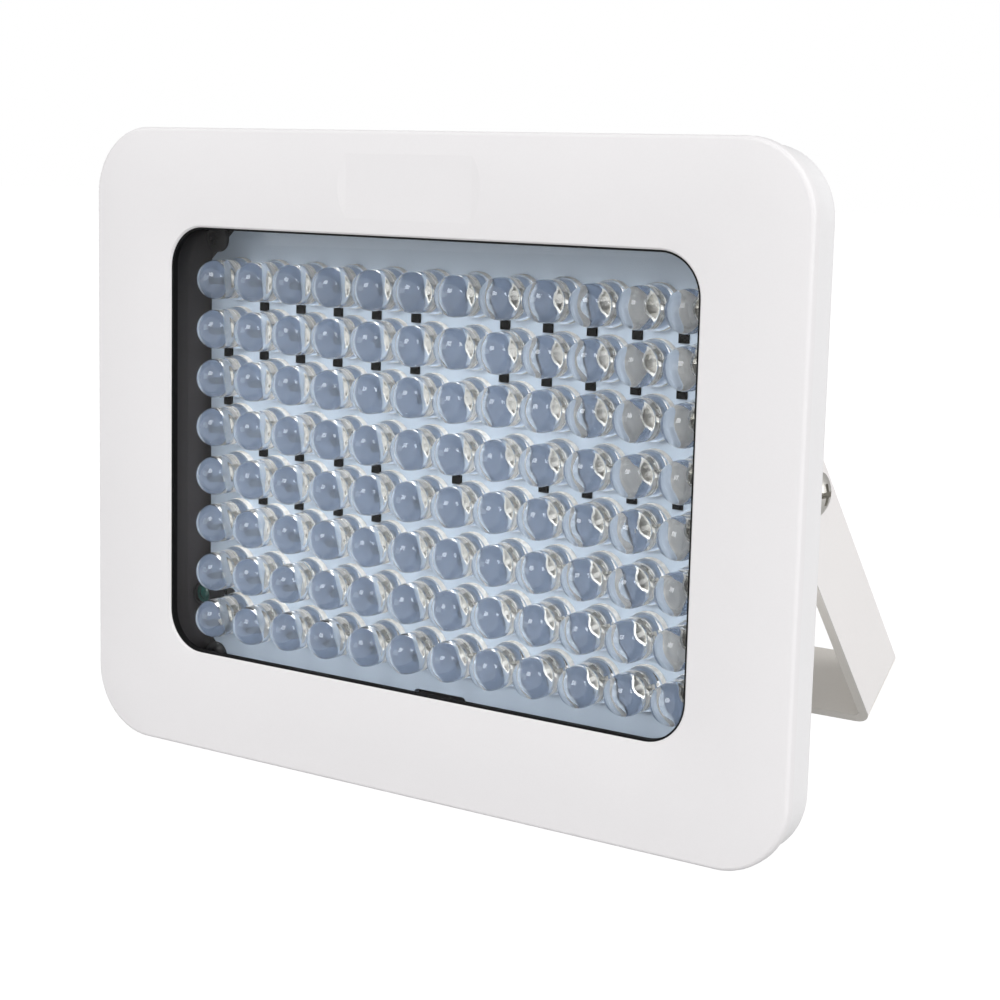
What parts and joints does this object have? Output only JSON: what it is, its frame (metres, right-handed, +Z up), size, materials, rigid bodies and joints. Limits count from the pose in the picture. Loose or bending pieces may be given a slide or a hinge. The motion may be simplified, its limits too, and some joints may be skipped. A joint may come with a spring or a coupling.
{
  "type": "infrared illuminator",
  "caption": "Box-shaped infrared illuminator: domed clear LEDs in a grid behind a gasketed window, finned rear housing, tilting U-shaped wall bracket.",
  "frame": {"origin": "centre of the bracket's middle hole, on the face that goes against the wall", "axes": "+X to the right seen from the front, -Y the way the light looks, +Z up, with the housing upright and the bracket's arms hanging back at 40 degrees"},
  "size_m": [0.1642, 0.0739, 0.1264],
  "materials": {
    "cover_white": "satin",
    "black_rubber": "matte",
    "window_glass": "gloss",
    "housing_white": "satin",
    "screw_steel": "satin",
    "board_white": "satin",
    "chip_black": "satin",
    "sensor_green": "gloss",
    "sleeve_dark": "matte",
    "board_green": "satin",
    "coil_yellow": "satin",
    "can_aluminium": "satin",
    "terminal_grey": "matte",
    "gland_nylon": "satin",
    "bracket_white": "satin",
    "washer_nylon": "matte",
    "led_clear": "gloss"
  },
  "bodies": {
    "bracket": {"bracket": "bracket_white"},
    "housing": {"front_cover": "cover_white", "window_gasket": "black_rubber", "window_glass": "window_glass", "rear_housing": "housing_white", "housing_seal": "black_rubber", "cover_screws": "screw_steel", "led_board": "board_white", "board_resistors": "chip_black", "board_screws": "screw_steel", "light_sensor": "sensor_green", "sensor_sleeve": "sleeve_dark", "driver_board": "board_green", "driver_screws": "screw_steel", "driver_transformer": "coil_yellow", "driver_capacitors": "can_aluminium", "driver_terminal": "terminal_grey", "gland_body": "gland_nylon", "gland_washer": "black_rubber", "gland_locknut": "gland_nylon", "gland_seal": "black_rubber", "gland_cap": "gland_nylon", "pivot_screws": "screw_steel", "toothed_washers": "screw_steel", "friction_washers": "washer_nylon", "led_row_1": "led_clear", "led_row_2": "led_clear", "led_row_3": "led_clear", "led_row_4": "led_clear", "led_row_5": "led_clear", "led_row_6": "led_clear", "led_row_7": "led_clear", "led_row_8": "led_clear"}
  },
  "joints": [
    {"name": "tilt", "type": "hinge", "parent": "bracket", "child": "housing", "pos_m": [0, -0.03749, 0.04468], "axis": [1, 0, 0], "range_deg": [-140, 40]}
  ]
}
